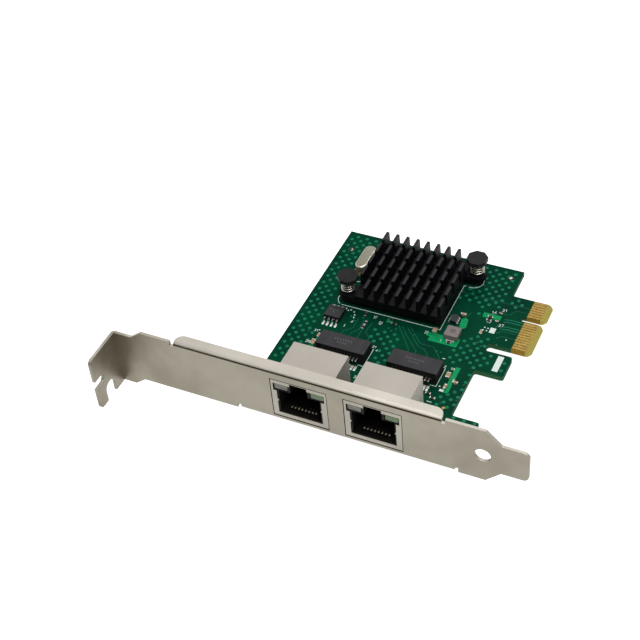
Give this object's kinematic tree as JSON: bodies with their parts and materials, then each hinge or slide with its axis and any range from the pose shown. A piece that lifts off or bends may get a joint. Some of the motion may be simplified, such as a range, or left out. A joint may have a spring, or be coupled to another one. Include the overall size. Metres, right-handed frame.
{
  "type": "network interface card",
  "caption": "Flat expansion card with two modular jacks behind a folded steel bracket, a pin-fin heat sink on push pins and a gold card edge.",
  "frame": {"origin": "centreline of the key notch, at the ends of the edge fingers, on the underside of the board", "axes": "+X the way the card is pushed into its socket, -Y out of the chassis through the bracket, +Z the component side"},
  "size_m": [0.12, 0.0885, 0.0211],
  "materials": {
    "bracket_steel": "satin nickel plate",
    "screw_steel": "zinc plate",
    "board": "glossy green solder mask",
    "gold": "gold plate",
    "shell": "satin nickel plate",
    "black_plastic": "matte",
    "clear_lens": "clear",
    "green_lens": "clear green",
    "solder": "bright",
    "anodised": "black anodised",
    "thermal_pad": "matte",
    "spring_steel": "bright",
    "crystal_case": "satin",
    "ferrite": "matte grey",
    "ceramic_tan": "matte",
    "ceramic_black": "gloss"
  },
  "bodies": {
    "root": {"bracket": "bracket_steel", "bracket_screws": "screw_steel", "circuit_board": "board", "edge_contacts_top": "gold", "edge_contacts_bottom": "gold", "jack_shell_1": "shell", "jack_housing_1": "black_plastic", "jack_contacts_1": "gold", "jack_link_lens_1": "clear_lens", "jack_activity_lens_1": "green_lens", "jack_tails_1": "solder", "jack_shell_2": "shell", "jack_housing_2": "black_plastic", "jack_contacts_2": "gold", "jack_link_lens_2": "clear_lens", "jack_activity_lens_2": "green_lens", "jack_tails_2": "solder", "magnetics_1": "black_plastic", "magnetics_leads_1": "solder", "magnetics_2": "black_plastic", "magnetics_leads_2": "solder", "controller_chip": "black_plastic", "thermal_pad": "thermal_pad", "heat_sink": "anodised", "push_pin_left": "black_plastic", "push_pin_spring_left": "spring_steel", "push_pin_right": "black_plastic", "push_pin_spring_right": "spring_steel", "memory_chip": "black_plastic", "memory_chip_leads": "solder", "regulator": "black_plastic", "regulator_leads": "solder", "crystal_base": "crystal_case", "crystal_can": "crystal_case", "power_inductor": "ferrite", "inductor_terminals": "solder", "chip_capacitors": "ceramic_tan", "chip_resistors": "ceramic_black", "large_capacitors": "ceramic_tan", "chip_part_ends": "solder"}
  },
  "joints": []
}
